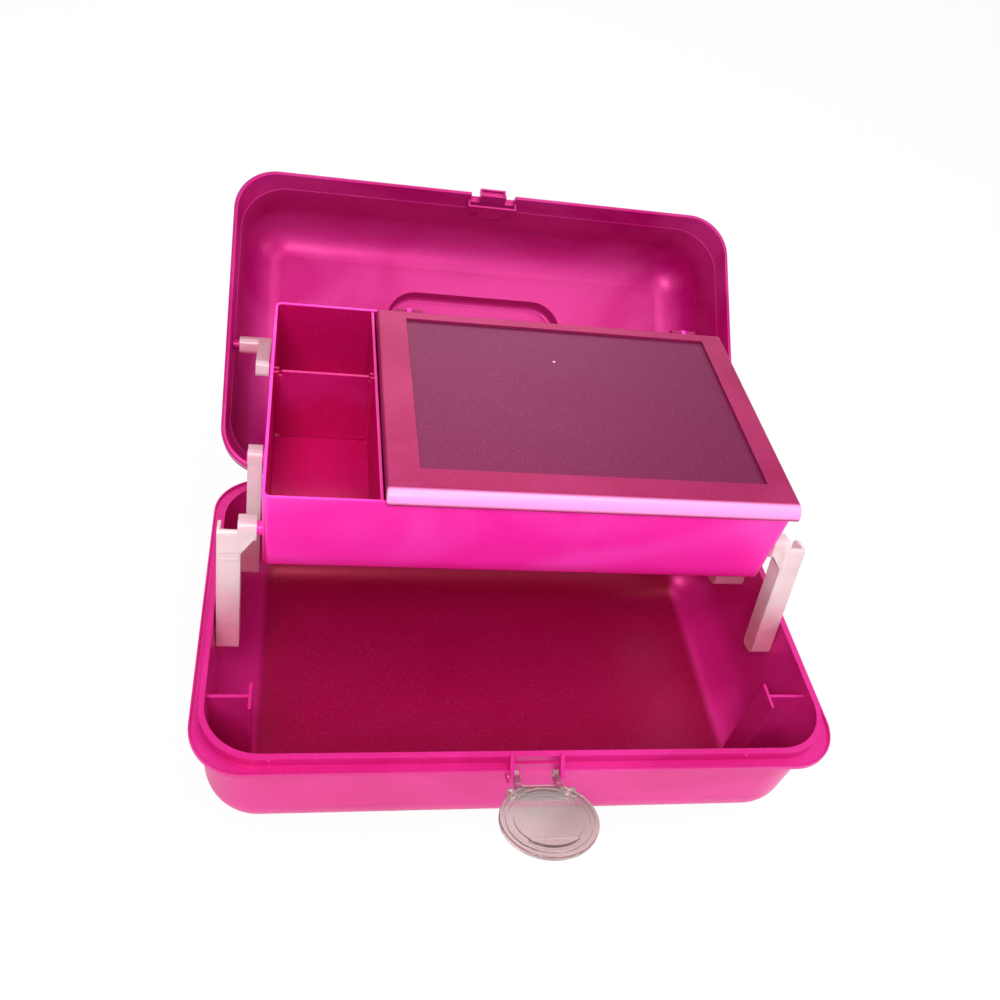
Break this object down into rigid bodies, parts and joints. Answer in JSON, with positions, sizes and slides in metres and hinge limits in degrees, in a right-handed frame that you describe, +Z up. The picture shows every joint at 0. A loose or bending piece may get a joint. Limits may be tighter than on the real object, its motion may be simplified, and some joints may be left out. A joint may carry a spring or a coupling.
{
  "type": "makeup storage case",
  "caption": "Hinged plastic storage case, open, with a tray that the lid lifts on parallel arms, a flip lid over part of the tray, a clip latch and a folding handle.",
  "frame": {"origin": "middle of the base's underside", "axes": "+X to the case's right seen from its front, +Y from the latch towards the hinge, +Z up"},
  "size_m": [0.32, 0.4091, 0.185],
  "materials": {
    "base_pink": "satin gloss",
    "lid_pink": "satin gloss",
    "handle_pink": "satin gloss",
    "tray_pink": "satin gloss",
    "divider_pink": "satin gloss",
    "flip_pink": "satin with a fine grain",
    "flip_pin_pink": "satin gloss",
    "hinge_steel": "satin",
    "handle_steel": "satin",
    "arm_frost": "frosted, light passes through",
    "link_frost": "frosted, light passes through",
    "latch_clear": "clear",
    "paddle_clear": "clear",
    "latch_pin_amber": "clear, slightly yellow"
  },
  "bodies": {
    "base": {"base_tub": "base_pink", "hinge_pin_l": "hinge_steel", "hinge_pin_r": "hinge_steel"},
    "lid": {"lid_shell": "lid_pink", "handle_pin_l": "handle_steel", "handle_pin_r": "handle_steel"},
    "handle": {"handle": "handle_pink"},
    "tray": {"tray": "tray_pink", "flip_pin_l": "flip_pin_pink", "flip_pin_r": "flip_pin_pink"},
    "divider": {"tray_divider": "divider_pink"},
    "flip_lid": {"flip_lid": "flip_pink"},
    "front_arm_r": {"front_arm_r": "arm_frost"},
    "front_arm_l": {"front_arm_l": "arm_frost"},
    "rear_arm_r": {"rear_arm_r": "arm_frost"},
    "rear_arm_l": {"rear_arm_l": "arm_frost"},
    "lid_link_r": {"lid_link_r": "link_frost"},
    "lid_link_l": {"lid_link_l": "link_frost"},
    "latch_link": {"latch_link": "latch_clear", "latch_pin": "latch_pin_amber"},
    "latch_paddle": {"latch_paddle": "paddle_clear"}
  },
  "joints": [
    {"name": "lid_hinge", "type": "hinge", "parent": "base", "child": "lid", "pos_m": [0, 0.095, 0.07194], "axis": [1, 0, 0], "range_deg": [0, 144.09]},
    {"name": "handle_swing", "type": "hinge", "parent": "lid", "child": "handle", "pos_m": [0, 0.20999, 0.07512], "axis": [1, 0, 0], "range_deg": [-54.1, 125.9]},
    {"name": "front_arm_r_foot", "type": "hinge", "parent": "base", "child": "front_arm_r", "pos_m": [0.14694, -0.0065, 0.0585], "axis": [1, 0, 0], "range_deg": [0, 85.47]},
    {"name": "rear_arm_r_foot", "type": "hinge", "parent": "base", "child": "rear_arm_r", "pos_m": [0.14694, 0.0435, 0.0585], "axis": [1, 0, 0], "range_deg": [0, 85.47]},
    {"name": "lid_link_r_pivot", "type": "hinge", "parent": "lid", "child": "lid_link_r", "pos_m": [0.14694, 0.1652, 0.11139], "axis": [1, 0, 0], "range_deg": [0, 58.85]},
    {"name": "front_arm_l_foot", "type": "hinge", "parent": "base", "child": "front_arm_l", "pos_m": [-0.14694, -0.0065, 0.0585], "axis": [1, 0, 0], "range_deg": [0, 85.47]},
    {"name": "rear_arm_l_foot", "type": "hinge", "parent": "base", "child": "rear_arm_l", "pos_m": [-0.14694, 0.0435, 0.0585], "axis": [1, 0, 0], "range_deg": [0, 85.47]},
    {"name": "lid_link_l_pivot", "type": "hinge", "parent": "lid", "child": "lid_link_l", "pos_m": [-0.14694, 0.1652, 0.11139], "axis": [1, 0, 0], "range_deg": [0, 58.85]},
    {"name": "tray_pivot", "type": "hinge", "parent": "front_arm_r", "child": "tray", "pos_m": [0.13764, 0.009, 0.119], "axis": [1, 0, 0], "range_deg": [-85.47, 0]},
    {"name": "flip_lid_hinge", "type": "hinge", "parent": "tray", "child": "flip_lid", "pos_m": [0.03, 0.1505, 0.1528], "axis": [1, 0, 0], "range_deg": [-100, 0]},
    {"name": "divider_lift", "type": "slide", "parent": "tray", "child": "divider", "axis": [0, 0, -1], "range_m": [-0.04, 0]},
    {"name": "latch_swing", "type": "hinge", "parent": "base", "child": "latch_link", "pos_m": [0, -0.0936, 0.065], "axis": [-1, 0, 0], "range_deg": [0, 56.5]},
    {"name": "paddle_swing", "type": "hinge", "parent": "latch_link", "child": "latch_paddle", "pos_m": [0, -0.10605, 0.06848], "axis": [1, 0, 0], "range_deg": [0, 155.6]}
  ],
  "couplings": [
    {"joint": "front_arm_r_foot", "follows": "lid_hinge", "ratio": 0.59248},
    {"joint": "rear_arm_r_foot", "follows": "lid_hinge", "ratio": 0.59248},
    {"joint": "lid_link_r_pivot", "follows": "lid_hinge", "ratio": 0.40771},
    {"joint": "front_arm_l_foot", "follows": "lid_hinge", "ratio": 0.59248},
    {"joint": "rear_arm_l_foot", "follows": "lid_hinge", "ratio": 0.59248},
    {"joint": "lid_link_l_pivot", "follows": "lid_hinge", "ratio": 0.40771},
    {"joint": "tray_pivot", "follows": "lid_hinge", "ratio": -0.59248},
    {"joint": "paddle_swing", "follows": "latch_swing", "ratio": 2.7522}
  ]
}
